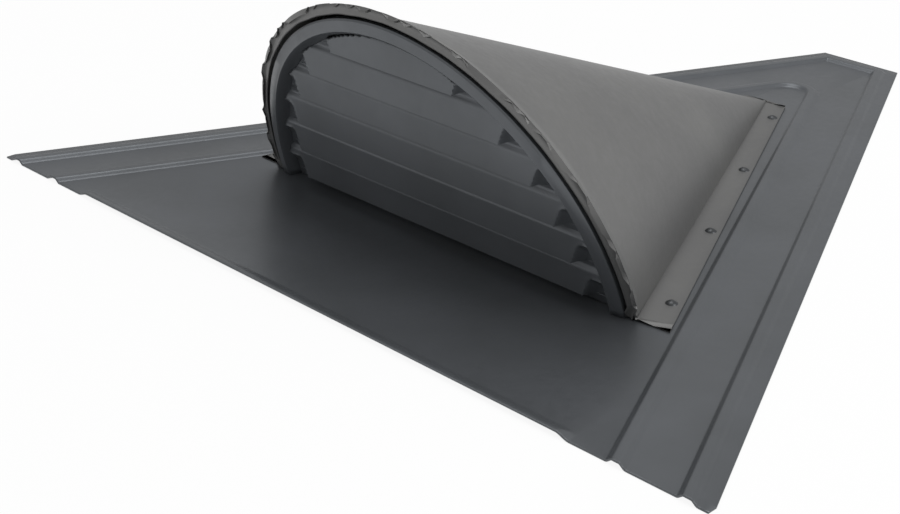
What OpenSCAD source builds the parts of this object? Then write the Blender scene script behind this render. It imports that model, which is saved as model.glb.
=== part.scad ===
// Half-round roof vent in dark zinc sheet, stored flat on its base plate.
// X runs across the vent, -Y is the lower edge with the grille, +Y the narrow
// back, Z up. The floor is z = 0. All sizes are in millimetres.

/* [Base plate] */
// Width across the front edge
plate_width = 522; // [300:1:700]
// From the front edge to the back edge
plate_depth = 516; // [300:1:700]
// Width across the narrow back edge
back_width = 58; // [20:1:200]
// Thickness of every sheet
sheet = 0.8; // [0.6:0.1:1.5]
// Width that the cut along Y takes off each front corner
corner_trim = 2.5; // [0:0.5:10]

/* [Water beads] */
// Width of a pressed bead
bead_width = 9; // [4:0.2:14]
// Height of a pressed bead over the sheet
bead_height = 2.2; // [1:0.2:5]
// Outer bead's inset from the side, along the front edge
outer_inset = 13.2; // [6:0.2:30]
// Outer bead's inset from the back edge
outer_back = 10.5; // [6:0.5:30]
// Inner bead's inset from the side, along the front edge
inner_inset = 51; // [20:0.5:100]
// Depth at which the inner bead's round end peaks
inner_tip = 444; // [300:1:500]
// Half length of the raised lip on the front edge
lip_half = 184; // [50:1:240]
// Height of the raised lip over the sheet
lip_height = 2.2; // [1:0.2:5]
// Depth over which the lip runs down to the sheet
lip_depth = 7; // [4:0.5:15]

/* [Hood] */
// Half angle of the hood's cone
hood_angle = 24.4; // [15:0.1:35]
// Dip of the cone's axis below the plate
axis_dip = 3.2; // [0:0.1:8]
// Depth of the arch's feet behind the front edge
arch_depth = 107.5; // [60:0.5:200]
// Depth of the hood's tip behind the front edge
tip_depth = 406; // [300:1:480]
// Forward lean of the arch
lean = 18.8; // [0:0.1:30]
// Rise of the lip round the arch
arch_lip = 2.9; // [0:0.1:6]
// Width of the lip round the arch
arch_lip_width = 7; // [3:0.5:15]
// Flange width at the arch, along X
flange_front = 20; // [10:1:40]
// Flange width at the tip, along X
flange_back = 16; // [10:1:40]

/* [Louvre panel] */
// Depth of the panel's foot behind the front edge
panel_depth = 110; // [60:0.5:200]
// Radius of the louvre field, seen from the front
field_radius = 116; // [60:1:200]
// Inner radius of the collar bead, seen from the front
collar_inner = 119; // [60:0.5:200]
// Outer radius of the collar bead, seen from the front
collar_outer = 126.5; // [60:0.5:200]
// How far the collar bead stands out
collar_rise = 3; // [1:0.5:8]
// Outer radius of the panel, seen from the front
panel_radius = 128.5; // [60:0.5:200]
// Louvres in the panel
louvres = 6; // [3:1:10]
// Pitch of the louvres up the slope
louvre_pitch = 20.7; // [10:0.1:40]
// Height of the lowest louvre's lip up the slope
louvre_start = 6; // [2:0.5:20]
// Height of one louvre up the slope
louvre_height = 13; // [6:0.5:30]
// How far a louvre's lip stands out
louvre_reach = 6.5; // [2:0.5:12]
// Length of a louvre's closing end
louvre_end = 12; // [4:0.5:20]
// Front edge of the panel's foot flange, behind the plate's front edge
foot_front = 99.5; // [60:0.5:200]
// Half length of the foot flange at its front edge
foot_half = 112; // [60:1:200]

/* [Rivets] */
// Rivets in each flange
rivets = 4; // [2:1:8]
// Diameter of a rivet head
head_diameter = 6.5; // [4:0.1:10]
// Height of a rivet head
head_height = 1.6; // [0.8:0.1:3]
// Diameter of a rivet shank
shank_diameter = 3.2; // [2:0.1:5]

/* [Air opening] */
// Radius of the opening in the plate under the hood
opening_radius = 72; // [30:1:80]
// Depth of the opening's centre behind the front edge
opening_depth = 205; // [150:1:300]
// Height of the upstand round the opening
upstand = 12; // [3:1:30]

/* [Hidden] */
$fn = 96;
zero = -plate_depth/2;
side_slope = (plate_width - back_width)/2/plate_depth;
side_angle = atan(side_slope);
bead_r = (bead_width*bead_width/4 + bead_height*bead_height)/(2*bead_height);
bead_z = sheet + bead_height - bead_r;
lip_r = (lip_depth*lip_depth + lip_height*lip_height)/(2*lip_height);
lip_z = sheet + lip_height - lip_r;
fold_slope = tan(acos(cos(hood_angle)/cos(axis_dip)));
sheet_in = sheet + 0.1;
tip = zero + tip_depth;
first_rivet = [135.4, zero + 133];
last_rivet = [20.6, zero + 382];

function side_x(inset, d) = plate_width/2 - inset - side_slope*d;
function rivet_at(side, i) = let (k = i/(rivets - 1))
    [side*(first_rivet[0]*(1 - k) + last_rivet[0]*k), first_rivet[1]*(1 - k) + last_rivet[1]*k];

module plate_outline() {
    w = plate_width/2 - corner_trim;
    d = zero + corner_trim/side_slope;
    polygon([[-w, zero], [w, zero], [w, d], [back_width/2, -zero], [-back_width/2, -zero], [-w, d]]);
}

// A round bar from a to b, both [x, y], at the bead's centre height.
module bar(a, b, r) {
    d = b - a;
    translate([a[0], a[1], bead_z]) rotate([0, 90, atan2(d[1], d[0])])
        cylinder(h = norm(d), r = r);
}

// The outer bead's corners are mitred: the back bar keeps the wedge between the two mitre lines.
module outer_bead(r) {
    d = plate_depth - outer_back;
    cx = side_x(outer_inset, d);
    a = [-1, 0] + [sin(side_angle), -cos(side_angle)];
    m = a/norm(a);
    wedge = [[cx, zero + d] - 40*m, [cx, zero + d] + 20*m,
             [-cx - 20*m[0], zero + d + 20*m[1]], [-cx + 40*m[0], zero + d - 40*m[1]]];
    intersection() {
        bar([-cx - 30, zero + d], [cx + 30, zero + d], r);
        translate([0, 0, -20]) linear_extrude(40) polygon(wedge);
    }
    for (s = [-1, 1]) difference() {
        bar([s*side_x(outer_inset, -20), zero - 20],
            [s*side_x(outer_inset, d + 15), zero + d + 15], r);
        translate([0, 0, -20]) linear_extrude(40) polygon(wedge);
    }
}

// The inner bead's round end is a shade fatter than its bars, which run a little way into it.
module inner_bead(r) {
    reach = side_x(inner_inset, 0);
    yc = (inner_tip - reach*cos(side_angle))/(1 - side_slope*cos(side_angle));
    turn = inner_tip - yc;
    into = 0.5;
    for (s = [-1, 1])
        bar([s*side_x(inner_inset, -20), zero - 20],
            [s*(turn*cos(side_angle) - into*sin(side_angle)),
             zero + yc + turn*sin(side_angle) + into*cos(side_angle)], r);
    translate([0, zero + yc, bead_z]) rotate([0, 0, side_angle])
        rotate_extrude(angle = 180 - 2*side_angle) translate([turn, 0]) circle(r = r + 0.06);
}

// The raised lip: a flat bead whose crest lies just behind the front edge, with sloping ends.
// off moves its surface inwards.
module lip(off) {
    k = lip_depth/lip_height;
    intersection() {
        translate([-lip_half - 30, zero + 1.5, lip_z]) rotate([0, 90, 0])
            cylinder(h = 2*lip_half + 60, r = lip_r - off);
        translate([0, zero, sheet - 1.05*off]) rotate([90, 0, 0]) linear_extrude(60, center = true)
            polygon([[-lip_half - 4*k, -4], [lip_half + 4*k, -4],
                     [lip_half - 4*k, 4], [-lip_half + 4*k, 4]]);
    }
}

module base_plate() color([0.29, 0.30, 0.31]) difference() {
    union() {
        linear_extrude(sheet) plate_outline();
        intersection() {
            linear_extrude(20) plate_outline();
            union() { outer_bead(bead_r); inner_bead(bead_r); lip(0); }
        }
        // upstand round the air opening
        translate([0, zero + opening_depth, 0])
            cylinder(h = sheet + upstand, r = opening_radius + sheet);
    }
    outer_bead(bead_r - sheet);
    inner_bead(bead_r - sheet);
    lip(sheet);
    translate([0, zero + opening_depth, -1]) cylinder(h = upstand + 9, r = opening_radius);
    for (s = [-1, 1], i = [0:rivets - 1])
        translate([rivet_at(s, i)[0], rivet_at(s, i)[1], -1]) cylinder(h = 9, d = shank_diameter);
}

// The hood's cone, with its surface moved outwards by off.
module cone(off) {
    len = 400;
    translate([0, tip, sheet]) rotate([90 + axis_dip, 0, 0])
        translate([0, 0, -off/sin(hood_angle)])
            cylinder(h = len, r1 = 0, r2 = len*tan(hood_angle));
}

// Everything behind the leaning plane that is n ahead of the arch's edge.
module behind(n) translate([0, zero + arch_depth, sheet]) rotate([lean, 0, 0])
    translate([-300, -n, -150]) cube([600, 900, 500]);

module above(z) translate([-300, -400, z]) cube([600, 800, 300]);

module arch_band(outer, inner, n0, n1) intersection() {
    difference() { cone(outer); cone(inner); }
    difference() { behind(n1); behind(n0); }
    above(sheet);
}

module hood() color([0.42, 0.42, 0.41]) difference() {
    union() {
        intersection() {
            difference() { cone(0); cone(-sheet); }
            behind(-arch_lip_width + sheet);
            above(sheet);
        }
        arch_band(arch_lip, arch_lip - sheet, -arch_lip_width, 0);
        arch_band(arch_lip, -sheet, -arch_lip_width, -arch_lip_width + sheet);
        difference() {
            translate([0, 0, sheet]) linear_extrude(sheet) polygon([
                [(tip_depth - arch_depth)*fold_slope, zero + arch_depth],
                [(tip_depth - arch_depth - 6)*fold_slope + flange_front, zero + arch_depth + 6],
                [flange_back, tip - 2], [-flange_back, tip - 2],
                [-(tip_depth - arch_depth - 6)*fold_slope - flange_front, zero + arch_depth + 6],
                [-(tip_depth - arch_depth)*fold_slope, zero + arch_depth]]);
            cone(-sheet/2);
        }
    }
    for (s = [-1, 1], i = [0:rivets - 1])
        translate([rivet_at(s, i)[0], rivet_at(s, i)[1], -1]) cylinder(h = 9, d = shank_diameter);
}

module panel_frame() translate([0, zero + panel_depth, sheet]) rotate([lean, 0, 0]) children();

// The layer between n0 and n1 ahead of the panel.
module layer(n0, n1) panel_frame() translate([-200, -n1, -60]) cube([400, n1 - n0, 300]);

module drum(r) translate([0, 0, sheet]) rotate([90, 0, 0]) cylinder(h = 1200, r = r, center = true);

module ring(outer, inner, n0, n1) intersection() {
    layer(n0, n1);
    difference() { drum(outer); drum(inner); }
    above(sheet);
}

function louvre_low(i) = louvre_start + louvre_pitch*i;
function louvre_reach_x(i) = sqrt(pow(field_radius, 2) - pow((louvre_low(i) + 2)*cos(lean), 2));

// One louvre as a solid, in the panel's own frame.
module louvre(i, trim) {
    low = louvre_low(i);
    high = low + min(louvre_height, (field_radius - 3)/cos(lean) - low);
    xe = louvre_reach_x(i) - trim;
    xi = xe - louvre_end;
    intersection() {
        rotate([90, 0, 90]) translate([0, 0, -150]) linear_extrude(300)
            polygon([[0.4, low], [-louvre_reach, low], [-louvre_reach, low + 1.2], [0.4, high + 0.8]]);
        translate([0, 0, -10]) linear_extrude(200)
            polygon([[-xe, 0.5], [-xe, 0], [-xi, -louvre_reach - 0.1], [xi, -louvre_reach - 0.1],
                     [xe, 0], [xe, 0.5]]);
        rotate([90, 0, 0]) translate([0, 0, -10]) linear_extrude(30)
            polygon([[-xe, low], [-xe, low + 2], [-xi, high + 1], [xi, high + 1], [xe, low + 2], [xe, low]]);
    }
}

module louvre_panel() color([0.30, 0.31, 0.32]) {
    difference() {
        union() {
            intersection() { layer(-sheet, 0); drum(collar_inner + 0.1); above(sheet); }
            difference() {
                ring(collar_outer, collar_inner - sheet, -sheet, collar_rise);
                ring(collar_outer - sheet, collar_inner, -2*sheet, collar_rise - sheet);
            }
            ring(panel_radius, collar_outer - 0.4, -sheet, 0);
            // skirt that nests in the hood
            intersection() {
                difference() { cone(-sheet_in); cone(-sheet_in - sheet); }
                layer(-13, 0);
                above(sheet);
            }
            ring(panel_radius + 3, panel_radius - 0.4, -sheet, 0);
            panel_frame() for (i = [0:louvres - 1]) louvre(i, 0);
        }
        panel_frame() for (i = [0:louvres - 1]) translate([0, sheet*1.1, -0.4]) louvre(i, 0.4);
        panel_frame() for (i = [0:louvres - 1]) intersection() {
            translate([0, 2, 0]) louvre(i, 1);
            translate([-150, -0.2, 0]) cube([300, 6, 200]);
        }
        difference() {
            layer(-2*sheet, 1);
            cone(-sheet_in - 0.01);
        }
    }
    // foot flange, turned forward over the plate
    translate([0, 0, sheet]) linear_extrude(sheet) polygon([
        [-foot_half, zero + foot_front], [foot_half, zero + foot_front],
        [foot_half + 5, zero + panel_depth - 1], [foot_half + 5, zero + panel_depth + 0.6],
        [-foot_half - 5, zero + panel_depth + 0.6], [-foot_half - 5, zero + panel_depth - 1]]);
}

module rivet(side, i) {
    p = rivet_at(side, i);
    ball = (head_diameter*head_diameter/4 + head_height*head_height)/(2*head_height);
    color([0.24, 0.25, 0.26]) translate([p[0], p[1], 0]) {
        cylinder(h = 2*sheet, d = shank_diameter);
        intersection() {
            translate([0, 0, 2*sheet + head_height - ball]) sphere(r = ball);
            translate([0, 0, 2*sheet]) cylinder(h = head_height + 1, d = head_diameter + 1);
        }
    }
}

module rivet_right_1() rivet(1, 0);
module rivet_right_2() rivet(1, 1);
module rivet_right_3() rivet(1, 2);
module rivet_right_4() rivet(1, 3);
module rivet_left_1() rivet(-1, 0);
module rivet_left_2() rivet(-1, 1);
module rivet_left_3() rivet(-1, 2);
module rivet_left_4() rivet(-1, 3);

base_plate();
hood();
louvre_panel();
rivet_right_1();
rivet_right_2();
rivet_right_3();
rivet_right_4();
rivet_left_1();
rivet_left_2();
rivet_left_3();
rivet_left_4();
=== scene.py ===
# %% [markdown]
# # A half-round roof vent in dark zinc
# The vent is a roof part: a cone-shaped hood with a louvred front, riveted on a flat plate with
# pressed water beads. Everything is thin sheet zinc, so the look comes from three things: soft
# bends that catch thin lines of light, broad flat faces that mirror their surroundings dimly,
# and a fine rolling grain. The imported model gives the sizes. This script dresses it.

# %% Load the frame
import math

import bmesh
import bpy
from mathutils import Matrix, Vector


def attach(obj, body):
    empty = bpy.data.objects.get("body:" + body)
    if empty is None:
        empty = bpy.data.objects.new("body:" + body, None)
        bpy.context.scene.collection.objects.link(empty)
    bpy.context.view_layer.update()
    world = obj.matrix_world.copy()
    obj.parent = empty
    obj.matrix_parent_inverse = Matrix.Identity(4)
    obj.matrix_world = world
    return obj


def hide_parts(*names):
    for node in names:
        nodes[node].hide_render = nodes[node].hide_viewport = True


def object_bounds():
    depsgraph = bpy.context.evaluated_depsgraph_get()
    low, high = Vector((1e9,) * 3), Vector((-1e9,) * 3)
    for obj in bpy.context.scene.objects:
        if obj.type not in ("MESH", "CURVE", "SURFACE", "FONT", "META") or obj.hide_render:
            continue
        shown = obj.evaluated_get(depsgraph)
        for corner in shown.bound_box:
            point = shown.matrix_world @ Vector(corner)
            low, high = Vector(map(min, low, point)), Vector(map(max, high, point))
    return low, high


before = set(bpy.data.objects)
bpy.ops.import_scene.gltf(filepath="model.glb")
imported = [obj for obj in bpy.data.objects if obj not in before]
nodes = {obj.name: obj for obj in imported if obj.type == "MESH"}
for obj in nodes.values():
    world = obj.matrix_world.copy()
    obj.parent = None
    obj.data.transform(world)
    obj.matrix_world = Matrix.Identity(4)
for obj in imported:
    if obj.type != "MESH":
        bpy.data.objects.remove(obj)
cad_low, cad_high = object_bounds()
MM = 0.001
print("nodes:", ", ".join(sorted(nodes)))
print("box in mm:", [round(v / MM, 1) for v in cad_high - cad_low])

# %% [markdown]
# ## The camera
# The place, aim and focal length were worked out from the photo's straight edges, so the render
# can be laid over it. The camera is turned by a matrix: its right, up and back axes.

# %% Camera
CAMERA_AT = Vector((0.58341, -0.73693, 0.38840))
CAMERA_AIM = Vector((0.0206, -0.1657, 0.0008))
CAMERA_ROLL = math.radians(0.625)
FOCAL_PX, IMAGE_PX, SENSOR_MM = 1698.9, 900, 36


def aimed(place, aim, roll=0.0):
    """The matrix of a camera or lamp at a place, looking at a point."""
    ahead = (aim - place).normalized()
    side = ahead.cross(Vector((0, 0, 1))).normalized()
    up = side.cross(ahead)
    right = side * math.cos(roll) + up * math.sin(roll)
    top = up * math.cos(roll) - side * math.sin(roll)
    turn = Matrix((right, top, -ahead)).transposed().to_4x4()
    return Matrix.Translation(place) @ turn


camera = bpy.data.objects.new("camera", bpy.data.cameras.new("camera"))
bpy.context.scene.collection.objects.link(camera)
camera.data.sensor_width = SENSOR_MM
camera.data.lens = SENSOR_MM * FOCAL_PX / IMAGE_PX
camera.matrix_world = aimed(CAMERA_AT, CAMERA_AIM, CAMERA_ROLL)
bpy.context.scene.camera = camera
print("lens in mm:", round(camera.data.lens, 2))

# %% [markdown]
# ## A few helpers for materials
# Colours are written as they look on a screen, and one function turns them to linear light.
# Another adds a shader node with its settings and links in one line.

# %% Helpers for materials


def linear(hex_value, alpha=1.0):
    """A colour such as 0x6A6A69, as it looks on a screen, in linear light."""
    out = []
    for shift in (16, 8, 0):
        c = (hex_value >> shift & 255) / 255
        out.append(c / 12.92 if c <= 0.04045 else ((c + 0.055) / 1.055) ** 2.4)
    return (*out, alpha)


def add(tree, kind, links=None, **settings):
    """A shader node with its settings, and its inputs as values or as other nodes' sockets."""
    node = tree.nodes.new(kind)
    for name, value in settings.items():
        setattr(node, name, value)
    for name, value in (links or {}).items():
        if isinstance(value, bpy.types.NodeSocket):
            tree.links.new(value, node.inputs[name])
        else:
            node.inputs[name].default_value = value
    return node


def new_material(name):
    """An empty node material with its output."""
    material = bpy.data.materials.new(name)
    material.use_nodes = True
    material.node_tree.nodes.clear()
    return material, material.node_tree, add(material.node_tree, "ShaderNodeOutputMaterial")


# %% [markdown]
# ## Pre-weathered zinc
# Roof zinc is pickled at the mill to a dark, silky grey. The film is only a few microns thick, so
# the sheet still reflects as metal does, but softly. Rolling leaves fine lines along the strip,
# and handling leaves faint cloudy stains.

# %% Pre-weathered zinc


def zinc(name, tone, stain, roughness, grain_mm=(0.5, 60, 0.5), grain_depth=0.012):
    """Dark pickled zinc: a metal with rolling lines along one axis and cloudy stains."""
    material, tree, output = new_material(name)
    place = add(tree, "ShaderNodeTexCoord").outputs["Object"]
    cloud = add(tree, "ShaderNodeTexNoise",
                {"Vector": place, "Scale": 1 / (70 * MM), "Detail": 4, "Roughness": 0.55})
    speck = add(tree, "ShaderNodeTexNoise",
                {"Vector": place, "Scale": 1 / (5 * MM), "Detail": 3, "Roughness": 0.6})
    stretch = add(tree, "ShaderNodeMapping",
                  {"Vector": place, "Scale": [1 / (s * MM) for s in grain_mm]})
    grain = add(tree, "ShaderNodeTexNoise",
                {"Vector": stretch.outputs["Vector"], "Scale": 1.0, "Detail": 3, "Roughness": 0.6})
    patches = add(tree, "ShaderNodeMapRange",
                  {"Value": cloud.outputs["Fac"], "From Min": 0.3, "From Max": 0.7})
    colour = add(tree, "ShaderNodeMix", {"Factor": patches.outputs["Result"], "A": linear(tone),
                                         "B": linear(stain)}, data_type="RGBA")
    fleck = add(tree, "ShaderNodeMapRange",
                {"Value": speck.outputs["Fac"], "From Min": 0.25, "From Max": 0.75,
                 "To Min": roughness - 0.03, "To Max": roughness + 0.04})
    lines = add(tree, "ShaderNodeMath",
                {0: grain.outputs["Fac"], 1: 0.05, 2: fleck.outputs["Result"]},
                operation="MULTIPLY_ADD")
    bump = add(tree, "ShaderNodeBump", {"Height": grain.outputs["Fac"], "Strength": 1.0,
                                        "Distance": grain_depth * MM})
    shader = add(tree, "ShaderNodeBsdfPrincipled",
                 {"Base Color": colour.outputs["Result"], "Metallic": 0.55,
                  "Roughness": lines.outputs["Value"], "Normal": bump.outputs["Normal"]})
    tree.links.new(shader.outputs["BSDF"], output.inputs["Surface"])
    return material


FINISHES = {
    "plate": zinc("pickled_zinc_plate", 0x63666A, 0x5B5E61, 0.33),
    # The hood's tone is lighter than the plate's as painted light: the same zinc, lightened because
    # the hood faces the light. Its brushed grain is real.
    "hood": zinc("pickled_zinc_brushed_hood_painted_light", 0x747473, 0x6B6B6B, 0.42, (0.5, 0.5, 40)),
    "panel": zinc("pickled_zinc_pressed_panel", 0x63666A, 0x585B5E, 0.36),
    # The rivet's tone is darker than the plate's as painted shade: the same zinc, darkened for the
    # shaded side of its domed head.
    "rivet": zinc("rivet_head_painted_shade", 0x4A4C4E, 0x404244, 0.3),
}
print("finishes:", ", ".join(m.name for m in FINISHES.values()))


def finish_of(node):
    """Which finish a node has, from its name."""
    for word, key in (("rivet", "rivet"), ("hood", "hood"), ("panel", "panel")):
        if word in node:
            return FINISHES[key]
    return FINISHES["plate"]


for name, node in nodes.items():
    node.data.materials.clear()
    node.data.materials.append(finish_of(name))

# %% [markdown]
# ## Sizes and helpers for the sheet pieces
# The pieces are worked in millimetres, in the model's own frame, and brought to metres at the
# end. The front edge of the plate is the datum for every depth. A sheet piece is made as one
# surface, its outer face, and then given its thickness.

# %% Sizes and helpers for the sheet pieces
FRONT = cad_low.y / MM
BACK = cad_high.y / MM
SHEET = 0.8
FULL_WIDTH, BACK_WIDTH, TRIM = 522, 58, 2.5
SIDE_SLOPE = (FULL_WIDTH - BACK_WIDTH) / 2 / (BACK - FRONT)
SIDE_ANGLE = math.atan(SIDE_SLOPE)
SIDE_IN = Vector((-math.cos(SIDE_ANGLE), -math.sin(SIDE_ANGLE), 0))


def every_part(mesh):
    """All vertices, edges and faces of a bmesh, as its operators want them."""
    return [*mesh.verts, *mesh.edges, *mesh.faces]


def cut(mesh, point, normal, drop_ahead=False, drop_behind=False):
    """Cuts a bmesh with a plane, and returns the edges on the cut."""
    found = bmesh.ops.bisect_plane(mesh, geom=every_part(mesh), dist=1e-4, plane_co=point,
                                   plane_no=normal, clear_outer=drop_ahead,
                                   clear_inner=drop_behind)
    return [e for e in found["geom_cut"] if isinstance(e, bmesh.types.BMEdge)]


def smooth_step(low, high, value):
    """0 below low, 1 above high, and a smooth rise between them."""
    t = min(max((value - low) / (high - low), 0.0), 1.0)
    return t * t * (3 - 2 * t)


def make_piece(name, mesh, finish, node, sharp=40):
    """An object in metres from a bmesh in millimetres: it rides on the body, and stands for a node."""
    bmesh.ops.transform(mesh, matrix=Matrix.Scale(MM, 4), verts=mesh.verts)
    data = bpy.data.meshes.new(name)
    mesh.to_mesh(data)
    mesh.free()
    for face in data.polygons:
        face.use_smooth = True
    data.set_sharp_from_angle(angle=math.radians(sharp))
    piece = bpy.data.objects.new(name, data)
    piece.data.materials.append(FINISHES[finish])
    bpy.context.scene.collection.objects.link(piece)
    wall = piece.modifiers.new("wall", "SOLIDIFY")
    wall.thickness, wall.offset = SHEET * MM, -1
    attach(piece, "root")
    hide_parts(node)
    print(name, "has", sum(len(f.vertices) - 2 for f in data.polygons), "triangles")
    return piece


# %% [markdown]
# ## The base plate
# The plate is a flat sheet with pressed beads that lead water down to the eaves. A press leaves
# a flat crest and soft flanks. The plate's outline is cut into strips along both beads, so that
# each strip can be lifted by the bead's own profile. Half is made, and then mirrored.

# %% Base plate
BEAD_HALF, BEAD_FLANK, BEAD_RISE = 5.2, 3.4, 2.1
OUTER_INSET, OUTER_BACK, INNER_INSET, INNER_TIP = 13.2, 10.5, 51.0, 444.0
LIP_HALF, LIP_RISE, LIP_RUN = 184, 2.1, 8.5
BEAD_CUTS = (0, 0.9, 1.8, 2.3, 2.9, 3.5, 4.1, 4.7, 5.2)


def side_point(inset, depth):
    """A point on the line that runs beside the plate's edge, inset along the front edge."""
    return Vector((FULL_WIDTH / 2 - inset - SIDE_SLOPE * depth, FRONT + depth, 0))


def to_segment(p, a, b):
    """The distance from a point to a straight stretch."""
    along = b - a
    t = min(max((p - a).dot(along) / along.length_squared, 0), 1)
    return (p - a - along * t).length


tip_reach = side_point(INNER_INSET, 0).x
tip_depth = ((INNER_TIP - tip_reach * math.cos(SIDE_ANGLE))
             / (1 - SIDE_SLOPE * math.cos(SIDE_ANGLE)))
TIP_CENTRE = Vector((0, FRONT + tip_depth, 0))
TIP_RADIUS = INNER_TIP - tip_depth
TIP_START = TIP_CENTRE - SIDE_IN * TIP_RADIUS
OUTER_CORNER = side_point(OUTER_INSET, BACK - FRONT - OUTER_BACK)


def bead_height(p):
    """How high the pressed beads and the front lip stand at a point of the right half."""
    p = Vector((p.x, p.y, 0))
    outer = min(to_segment(p, side_point(OUTER_INSET, -20), OUTER_CORNER),
                to_segment(p, OUTER_CORNER, Vector((-50, OUTER_CORNER.y, 0))))
    inner = to_segment(p, side_point(INNER_INSET, -20), TIP_START)
    turn = p - TIP_CENTRE
    if math.atan2(turn.y, turn.x) > SIDE_ANGLE:
        inner = abs(turn.length - TIP_RADIUS)
    bead = BEAD_RISE * smooth_step(0, BEAD_FLANK, BEAD_HALF - min(outer, inner))
    lip = (LIP_RISE * (1 - smooth_step(1.5, LIP_RUN, p.y - FRONT))
           * smooth_step(0, 8, LIP_HALF - p.x))
    return max(bead, lip)


plate = bmesh.new()
corners = [(0, FRONT), (FULL_WIDTH / 2 - TRIM, FRONT),
           (FULL_WIDTH / 2 - TRIM, FRONT + TRIM / SIDE_SLOPE), (BACK_WIDTH / 2, BACK), (0, BACK)]
plate.faces.new([plate.verts.new((x, y, SHEET)) for x, y in corners])
for away in sorted({s * c for c in BEAD_CUTS for s in (-1, 1)}):
    for inset in (OUTER_INSET, INNER_INSET):
        cut(plate, side_point(inset, 0) + SIDE_IN * away, SIDE_IN)
    cut(plate, (0, OUTER_CORNER.y + away, 0), (0, 1, 0))
for depth in (0.8, 1.5, 2.4, 3.3, 4.2, 5.1, 6.0, 6.9, 7.7, LIP_RUN):
    cut(plate, (0, FRONT + depth, 0), (0, 1, 0))
for x in (0, 1.3, 2.6, 4, 5.4, 6.7, 8):
    cut(plate, (LIP_HALF - x, 0, 0), (1, 0, 0))
for k in range(1, 34):
    cut(plate, (k * 0.75, 0, 0), (1, 0, 0))
for k in range(30):
    cut(plate, (0, TIP_START.y - 3 + k * 0.75, 0), (0, 1, 0))
for vertex in plate.verts:
    vertex.co.z += bead_height(vertex.co)
bmesh.ops.mirror(plate, geom=every_part(plate), axis="X", merge_dist=0.01)
bmesh.ops.recalc_face_normals(plate, faces=plate.faces)
if sum(f.normal.z for f in plate.faces) < 0:
    bmesh.ops.reverse_faces(plate, faces=plate.faces)
base_plate = make_piece("base_plate_sheet", plate, "plate", "base_plate")

# %% [markdown]
# ## The louvre panel
# The grille is one pressed sheet that leans forward under the hood. A die lances each slot and
# stretches the sheet above it into a louvre: a shoulder, a slanting face and a lip. Near its end
# the face falls back in a rounded scoop, so that the slot can close. The sheet is cut into small
# cells, the slots are split open, and each point is pushed out by how far the die reaches there.

# %% The panel's own plane
LEAN = math.radians(18.8)
PANEL_DEPTH = 110
PANEL_FOOT = Vector((0, FRONT + PANEL_DEPTH, SHEET))
UP_SLOPE = Vector((0, -math.sin(LEAN), math.cos(LEAN)))
AHEAD = Vector((0, -math.cos(LEAN), -math.sin(LEAN)))
FIELD_RADIUS = 119.5
LOUVRES, PITCH, FIRST_LIP = 6, 20.7, 6
REACH, SHOULDER_AT, SHOULDER_REACH, SHOULDER_RUN = 6.5, 15.0, 2.2, 2.6
SCOOP_HIGH, SCOOP_WIDE, SCOOP_LEAN, SCOOP_CORNER = 12.0, 16.0, 0.37, 3.0


def half_width(slope_height, radius=FIELD_RADIUS):
    """Half the width of the round field at a height up the slope."""
    return math.sqrt(max(radius ** 2 - (slope_height * math.cos(LEAN)) ** 2, 0.0))


def louvre_at(slope_height):
    """Which louvre a height up the slope belongs to, and how far above its lip it is."""
    index = math.floor((slope_height - FIRST_LIP) / PITCH)
    return index, slope_height - FIRST_LIP - index * PITCH


def louvre_reach(x, slope_height):
    """How far the pressed sheet stands out of the panel's plane."""
    index, above = louvre_at(slope_height)
    if index < 0:
        return 0.0
    face = REACH + (SHOULDER_REACH - REACH) * min(above / SHOULDER_AT, 1)
    face *= 1 - smooth_step(SHOULDER_AT, SHOULDER_AT + SHOULDER_RUN, above)
    lip_end = half_width(FIRST_LIP + index * PITCH)
    into = abs(x) - (lip_end - SCOOP_WIDE + SCOOP_LEAN * above)
    under = SCOOP_HIGH - above
    corner = SCOOP_CORNER
    if into < corner and under < corner:
        inside = corner - math.hypot(corner - into, corner - under)
    else:
        inside = min(into, under)
    crest = 0.35 * math.exp(-(inside / 0.9) ** 2) * min(max(face, 0), 1)
    if inside <= 0:
        return face + crest
    fall = 1 - (1 - min(inside / 7.5, 1)) ** 2
    return face * (1 - fall) + crest


# %% The louvre field
CELL = 1.0
field = bmesh.new()
count_x, count_s = round(2 * FIELD_RADIUS / CELL), round(FIELD_RADIUS / math.cos(LEAN) / CELL) + 1
bmesh.ops.create_grid(field, x_segments=count_x, y_segments=count_s, size=0.5)
bmesh.ops.scale(field, vec=(count_x * CELL, count_s * CELL, 1), verts=field.verts)
bmesh.ops.translate(field, vec=(0, count_s * CELL / 2, 0), verts=field.verts)
outside = [f for f in field.faces
           if math.hypot(f.calc_center_median().x,
                         f.calc_center_median().y * math.cos(LEAN)) > FIELD_RADIUS]
bmesh.ops.delete(field, geom=outside, context="FACES")
for index in range(LOUVRES):
    lip = FIRST_LIP + index * PITCH
    line = cut(field, (0, lip, 0), (0, 1, 0))
    slot = [e for e in line if max(abs(v.co.x) for v in e.verts) < half_width(lip) - 1]
    bmesh.ops.split_edges(field, edges=slot)
for vertex in field.verts:
    middle = sum(f.calc_center_median().y for f in vertex.link_faces) / len(vertex.link_faces)
    x, height = vertex.co.x, vertex.co.y + (0.01 if middle > vertex.co.y else -0.01)
    vertex.co = PANEL_FOOT + Vector((x, 0, 0)) + UP_SLOPE * vertex.co.y \
        + AHEAD * louvre_reach(x, height)
print("louvre field:", len(field.faces), "faces")

# %% [markdown]
# The collar round the field is a raised band with a sharp inner crest. Its section is drawn as
# a few points, and is spun half round the panel. The spin is upright, and a shear leans it.

# %% The collar
COLLAR = ((118.2, -0.4), (118.8, 0.6), (120.6, 6.2), (121.6, 6.9), (123.2, 6.4), (127.4, 5.6),
          (128.4, 4.6), (128.6, -2.4))


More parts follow.
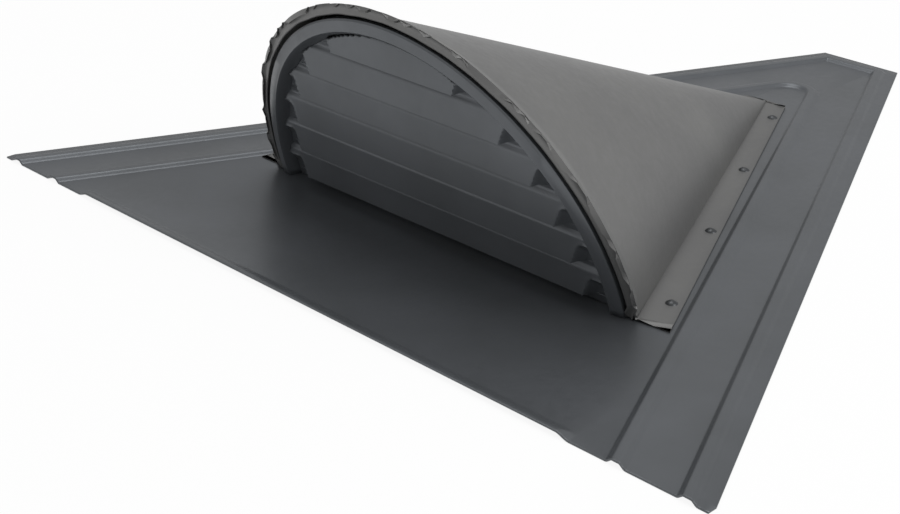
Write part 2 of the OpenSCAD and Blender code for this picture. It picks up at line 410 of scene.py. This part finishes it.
def spun(profile, steps=96):
    """A half-round band from a section of (radius, reach) points, leaning as the panel does."""
    band = bmesh.new()
    corners = [band.verts.new((r, -reach / math.cos(LEAN), 0)) for r, reach in profile]
    edges = [band.edges.new(pair) for pair in zip(corners, corners[1:])]
    bmesh.ops.spin(band, geom=[*corners, *edges], axis=(0, -1, 0), cent=(0, 0, 0),
                   angle=math.pi, steps=steps)
    lean = Matrix.Identity(4)
    lean[1][2] = -math.tan(LEAN)
    bmesh.ops.transform(band, matrix=Matrix.Translation(PANEL_FOOT) @ lean, verts=band.verts)
    return band


def taken_in(mesh, other):
    """Adds a bmesh's geometry to another bmesh."""
    data = bpy.data.meshes.new("part")
    other.to_mesh(data)
    other.free()
    mesh.from_mesh(data)
    bpy.data.meshes.remove(data)


collar = spun(COLLAR)
bmesh.ops.recalc_face_normals(collar, faces=collar.faces)
taken_in(field, collar)
louvre_panel = make_piece("louvre_panel_sheet", field, "panel", "louvre_panel")

# %% [markdown]
# ## The hood
# The hood is a sheet bent to half a cone, with a flange folded out along each side. Its front
# edge flares a little, and then turns in as a narrow ring, as a hem does. The cone is an
# operator's shape, cut by the arch's leaning plane and by the fold's height. The flare is a
# profile along the cone, and the ring is extruded from the rim.

# %% The hood's cone
HOOD_ANGLE, AXIS_DIP = math.radians(24.4), math.radians(3.2)
HOOD_TIP = Vector((0, FRONT + 406, SHEET))
HOOD_AXIS = Vector((0, -math.cos(AXIS_DIP), -math.sin(AXIS_DIP)))
ARCH_FOOT = Vector((0, FRONT + 105.8, SHEET))
FOLD_HEIGHT = 2 * SHEET
NOTCH_HEIGHT, NOTCH_BACK = 10.0, 107.9
FLARE = ((-9, 0), (-7, 0.25), (-5, 0.9), (-3, 1.5), (-1, 2.0), (0, 2.2))
RING = ((-0.9, 1.0), (-1.0, -0.5), (-0.6, -2.0), (0.1, -3.0), (0.3, -3.9))
FLANGE_FRONT, FLANGE_BACK = Vector((150.7, FRONT + 114.5)), Vector((15.8, FRONT + 402.1))


def ahead_of_arch(p):
    """How far a point lies ahead of the arch's leaning plane."""
    return (p - ARCH_FOOT).dot(AHEAD)


def off_axis(p):
    """The direction straight away from the cone's axis at a point."""
    away = p - HOOD_TIP
    return (away - HOOD_AXIS * away.dot(HOOD_AXIS)).normalized()


def flare_at(n):
    """The flare's rise at a distance from the arch's plane."""
    for (n0, r0), (n1, r1) in zip(FLARE, FLARE[1:]):
        if n0 <= n <= n1:
            return r0 + (r1 - r0) * (n - n0) / (n1 - n0)
    return 0.0


hood = bmesh.new()
CONE_LENGTH = 400
bmesh.ops.create_cone(hood, cap_ends=False, segments=240, radius1=0,
                      radius2=CONE_LENGTH * math.tan(HOOD_ANGLE), depth=CONE_LENGTH)
bmesh.ops.remove_doubles(hood, verts=hood.verts, dist=0.001)
bmesh.ops.translate(hood, vec=(0, 0, CONE_LENGTH / 2), verts=hood.verts)
turn = Vector((0, 0, 1)).rotation_difference(HOOD_AXIS).to_matrix().to_4x4()
bmesh.ops.transform(hood, matrix=Matrix.Translation(HOOD_TIP) @ turn, verts=hood.verts)
cut(hood, (0, 0, FOLD_HEIGHT), (0, 0, 1), drop_behind=True)
rim = cut(hood, ARCH_FOOT, AHEAD, drop_ahead=True)
for n, _ in FLARE[:-1]:
    cut(hood, ARCH_FOOT + AHEAD * n, AHEAD)
for z in (4, 7, NOTCH_HEIGHT, 14, 20):
    cut(hood, (0, 0, z), (0, 0, 1))
bmesh.ops.remove_doubles(hood, verts=hood.verts, dist=0.05)
print("hood cone:", len(hood.faces), "faces")

# %% [markdown]
# The ring is extruded from the rim step by step. Near the plate the two part: the hood's edge
# runs back to the fold, and the ring's foot stands on its own, a few millimetres further in.

# %% The flare and the ring
rim = [e for e in hood.edges if e.is_boundary
       and all(abs(ahead_of_arch(v.co)) < 0.01 for v in e.verts)]
rim_points = {v for e in rim for v in e.verts}
ring_edges, ring_points = rim, []
start = {v: v.co.copy() for v in rim_points}
for n, out in RING:
    made = bmesh.ops.extrude_edge_only(hood, edges=ring_edges)["geom"]
    new_points = [g for g in made if isinstance(g, bmesh.types.BMVert)]
    ring_edges = [g for g in made if isinstance(g, bmesh.types.BMEdge)
                  and all(v in set(new_points) for v in g.verts)]
    ring_points.append((n, out, new_points))
low_rim = [e for e in rim if all(v.co.z < NOTCH_HEIGHT + 0.01 for v in e.verts)]
ring_verts = {v for _, _, points in ring_points for v in points}
bmesh.ops.split_edges(hood, edges=low_rim)


def in_ring(vertex):
    """Whether all faces round a rim point are the ring's."""
    return all(any(v in ring_verts for v in f.verts) for f in vertex.link_faces)


def foot_in(z):
    """How far the ring's foot stands in from the rim near the plate."""
    return 5 * (1 - smooth_step(FOLD_HEIGHT, NOTCH_HEIGHT, z))


for n, out, points in ring_points:
    for v in points:
        base = v.co.copy()
        radial = off_axis(base)
        radial = (radial - AHEAD * radial.dot(AHEAD)).normalized()
        wave = 0.25 * math.sin(base.x / 4.1) * math.sin(base.x / 11 + 1) if out < -1 else 0
        v.co = base + AHEAD * n + radial * (out + wave - foot_in(base.z))
for v in hood.verts:
    if v in ring_verts:
        continue
    n = ahead_of_arch(v.co)
    if n > -9.01:
        if abs(n) < 0.01 and v.co.z < NOTCH_HEIGHT - 0.01 and in_ring(v):
            v.co += off_axis(v.co) * (2.2 - foot_in(v.co.z))
        else:
            fade = smooth_step(FOLD_HEIGHT + 1, NOTCH_HEIGHT + 4, v.co.z)
            if abs(n) < 0.01 and v.co.z < NOTCH_HEIGHT:
                back = (NOTCH_HEIGHT - v.co.z) / (NOTCH_HEIGHT - FOLD_HEIGHT)
                v.co.y += back * (FRONT + NOTCH_BACK - (ARCH_FOOT.y - math.tan(LEAN) * SHEET))
            v.co += off_axis(v.co) * flare_at(max(n, -9)) * fade

# %% [markdown]
# The flange is extruded from the cut at the fold's height, out to the flange's straight edge.

# %% The flange
fold = [e for e in hood.edges if e.is_boundary and all(abs(v.co.z - FOLD_HEIGHT) < 0.01
        for v in e.verts) and not any(v in ring_verts or in_ring(v) for v in e.verts)]
made = bmesh.ops.extrude_edge_only(hood, edges=fold)["geom"]
for v in [g for g in made if isinstance(g, bmesh.types.BMVert)]:
    t = (v.co.y - FLANGE_FRONT.y) / (FLANGE_BACK.y - FLANGE_FRONT.y)
    side = math.copysign(1, v.co.x) if abs(v.co.x) > 0.01 else 0
    edge = FLANGE_FRONT.lerp(FLANGE_BACK, t)
    if v.co.y < FRONT + NOTCH_BACK + 0.5:
        edge = FLANGE_FRONT
    v.co.x, v.co.y = side * edge.x, (edge.y if t < 0 else v.co.y) if side else v.co.y + 0.1
bmesh.ops.bevel(hood, geom=fold, offset=1.2, affect="EDGES", segments=3, profile=0.5, material=-1)
bmesh.ops.recalc_face_normals(hood, faces=hood.faces)
if sum(f.normal.dot(off_axis(f.calc_center_median())) for f in hood.faces) < 0:
    bmesh.ops.reverse_faces(hood, faces=hood.faces)
hood_sheet = make_piece("hood_sheet", hood, "hood", "hood")

# %% [markdown]
# ## The floor and the light
# The photo is a cut-out on white. The floor is pale, it shows as white to the camera and in
# reflections, and it keeps a soft shadow. Two large soft lamps and an even sky light the metal.

# %% Floor
FLOOR_SIZE = 6.0
FLOOR_GLOW = 0.9


def see_white(tree, plain, glow):
    """The plain shader for light, mixed with a white glow for the camera and for reflections."""
    path = add(tree, "ShaderNodeLightPath")
    seen = path.outputs["Is Camera Ray"]
    for kind in ("Is Glossy Ray", "Is Transmission Ray"):
        seen = add(tree, "ShaderNodeMath", {0: seen, 1: path.outputs[kind]},
                   operation="MAXIMUM").outputs["Value"]
    share = add(tree, "ShaderNodeMath", {0: seen, 1: glow}, operation="MULTIPLY")
    white = add(tree, "ShaderNodeEmission", {"Color": (1, 1, 1, 1), "Strength": 1.0})
    return add(tree, "ShaderNodeMixShader",
               {0: share.outputs["Value"], 1: plain, 2: white.outputs["Emission"]})


floor_material, tree, output = new_material("pale_studio_floor")
plain = add(tree, "ShaderNodeBsdfDiffuse", {"Color": linear(0xF4F4F4)})
mixed = see_white(tree, plain.outputs["BSDF"], FLOOR_GLOW)
tree.links.new(mixed.outputs["Shader"], output.inputs["Surface"])

mesh = bmesh.new()
bmesh.ops.create_grid(mesh, x_segments=1, y_segments=1, size=FLOOR_SIZE / 2)
data = bpy.data.meshes.new("floor")
mesh.to_mesh(data)
mesh.free()
floor = bpy.data.objects.new("floor", data)
floor.data.materials.append(floor_material)
floor.location.z = cad_low.z - 0.0002
bpy.context.scene.collection.objects.link(floor)

# %% Light
world = bpy.data.worlds.new("studio")
bpy.context.scene.world = world
world.use_nodes = True
tree = world.node_tree
tree.nodes.clear()
path = add(tree, "ShaderNodeLightPath")
sky = add(tree, "ShaderNodeBackground", {"Color": linear(0xFFFFFF), "Strength": 0.55})
white = add(tree, "ShaderNodeBackground", {"Color": (1, 1, 1, 1), "Strength": 1.0})
mixed = add(tree, "ShaderNodeMixShader", {0: path.outputs["Is Camera Ray"],
                                          1: sky.outputs["Background"],
                                          2: white.outputs["Background"]})
output = add(tree, "ShaderNodeOutputWorld", {"Surface": mixed.outputs["Shader"]})


def soft_lamp(name, place, aim, size, power):
    """A square area lamp of a size in metres and a power in watts."""
    lamp = bpy.data.objects.new(name, bpy.data.lights.new(name, "AREA"))
    lamp.data.shape = "SQUARE"
    lamp.data.size = size
    lamp.data.energy = power
    lamp.matrix_world = aimed(Vector(place), Vector(aim))
    bpy.context.scene.collection.objects.link(lamp)
    return lamp


soft_lamp("lamp_right", (1.8, 0.3, 1.3), (0, 0, 0), 1.2, 22)
soft_lamp("lamp_top", (-0.4, 0.2, 2.2), (0, 0, 0), 1.4, 14)

# %% [markdown]
# ## Finish
# The view transform is Standard, so a colour renders about as it is written.

# %% Finish
bpy.context.scene.view_settings.view_transform = "Standard"
for node in nodes.values():
    assert node.data.materials
